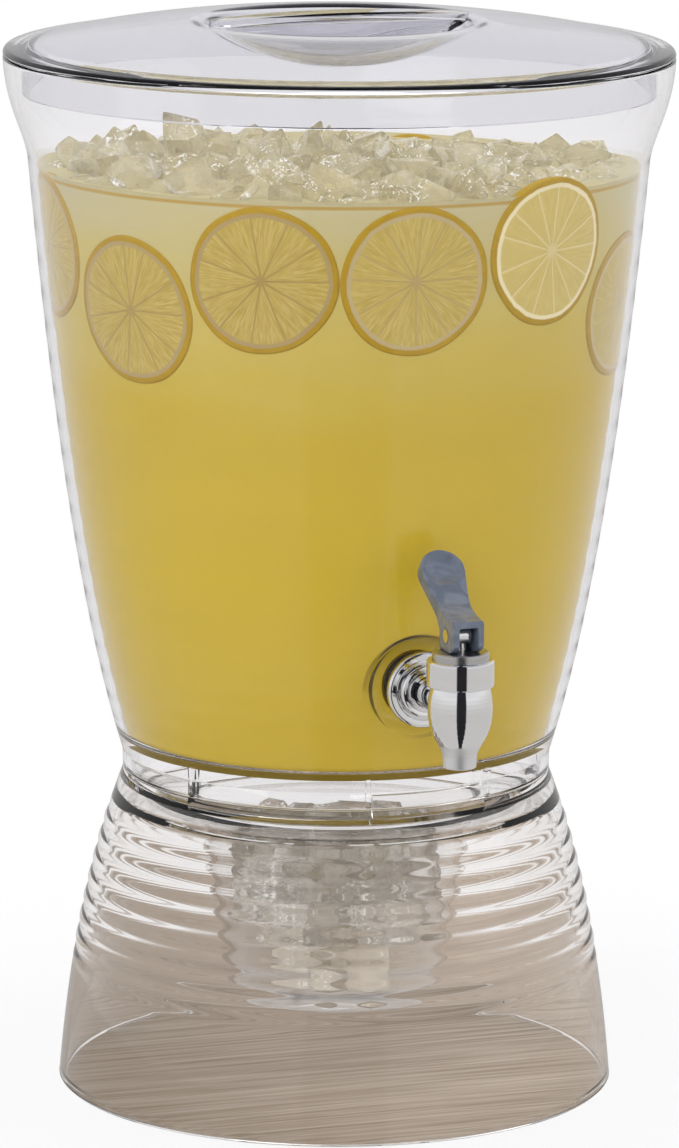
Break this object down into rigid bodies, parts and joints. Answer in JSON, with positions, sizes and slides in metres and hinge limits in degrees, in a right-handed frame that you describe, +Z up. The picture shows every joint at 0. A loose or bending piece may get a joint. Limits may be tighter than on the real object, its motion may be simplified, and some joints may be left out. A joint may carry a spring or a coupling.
{
  "type": "beverage dispenser",
  "caption": "Clear ringed drinks vessel with a sprung lever tap and a domed lid, on a clear flared stand that holds a removable ice cup.",
  "frame": {"origin": "centre of the stand's foot circle, in the plane of its underside (the table)", "axes": "+Z up along the axis of the vessel and stand, -Y the way the tap points, +X to the right of someone facing the tap"},
  "size_m": [0.292, 0.3182, 0.475],
  "materials": {
    "stand_plastic": "clear",
    "vessel_plastic": "clear",
    "lid_plastic": "clear",
    "cup_plastic": "clear",
    "ice": "melting",
    "lemonade": "cloudy liquid",
    "lemon": "cut fruit",
    "chrome": "polished",
    "white_plastic": "moulded",
    "grey_lever": "pearly moulded",
    "rubber": "moulded",
    "clear_seal": "translucent",
    "spring_steel": "drawn wire"
  },
  "bodies": {
    "stand": {"stand": "stand_plastic"},
    "vessel": {"vessel": "vessel_plastic", "beverage": "lemonade", "lemon_slices": "lemon", "floating_ice": "ice", "outer_gasket": "clear_seal", "inner_gasket": "clear_seal", "wall_flange": "chrome", "shank_nut": "white_plastic", "spigot_shank": "chrome", "spigot_body": "chrome", "bonnet_ring": "chrome", "bonnet_cap": "chrome", "valve_spring": "spring_steel"},
    "ice_cup": {"ice_cup": "cup_plastic", "cup_ice": "ice"},
    "lid": {"lid": "lid_plastic"},
    "valve": {"valve_stem": "white_plastic", "valve_plug": "rubber", "pivot_pin": "chrome"},
    "lever": {"lever": "grey_lever"}
  },
  "joints": [
    {"name": "vessel_lift", "type": "slide", "parent": "stand", "child": "vessel", "axis": [0, 0, 1], "range_m": [0, 0.24]},
    {"name": "ice_cup_lift", "type": "slide", "parent": "stand", "child": "ice_cup", "axis": [0, 0, 1], "range_m": [0, 0.12]},
    {"name": "lid_lift", "type": "slide", "parent": "vessel", "child": "lid", "axis": [0, 0, 1], "range_m": [0, 0.1]},
    {"name": "valve_lift", "type": "slide", "parent": "vessel", "child": "valve", "axis": [0, 0, 1], "range_m": [0, 0.00305], "deforming": ["valve_spring"]},
    {"name": "lever_tilt", "type": "hinge", "parent": "valve", "child": "lever", "pos_m": [0, -0.158, 0.2307], "axis": [1, 0, 0], "range_deg": [0, 50]}
  ],
  "couplings": [
    {"joint": "ice_cup_lift", "follows": "vessel_lift", "ratio": 0.5},
    {"joint": "valve_lift", "follows": "lever_tilt", "m_per_rad": 0.0035}
  ]
}
